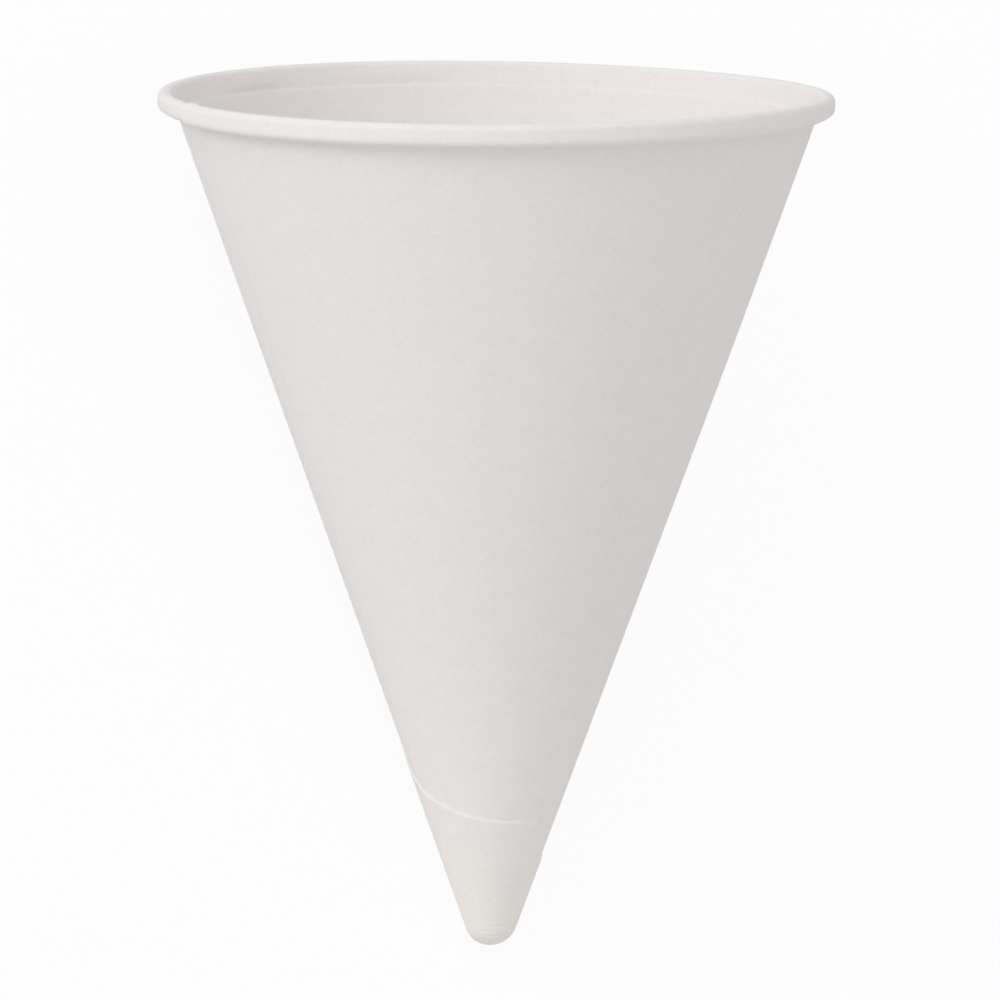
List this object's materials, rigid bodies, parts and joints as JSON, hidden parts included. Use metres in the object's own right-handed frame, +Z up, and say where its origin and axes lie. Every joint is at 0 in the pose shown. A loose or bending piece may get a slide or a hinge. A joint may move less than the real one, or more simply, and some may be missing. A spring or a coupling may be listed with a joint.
{
  "type": "cone paper cup",
  "caption": "Cone-shaped drinking cup wound from a single sheet of white paper, with a rolled rim and a closed round tip; lies on its side at rest.",
  "frame": {"origin": "middle of the footprint at floor level, with the cup lying on its side on small flats of its rolled rim and its tip", "axes": "+Y from the tip towards the mouth, level with the floor; +Z up; the cup's own axis lies in the YZ plane and rises 20.6 degrees towards the mouth"},
  "size_m": [0.07, 0.0954, 0.0655],
  "materials": {
    "paper": "plain white uncoated paper, matt with a faint mottle"
  },
  "bodies": {
    "root": {"cone_cup": "paper"}
  },
  "joints": []
}
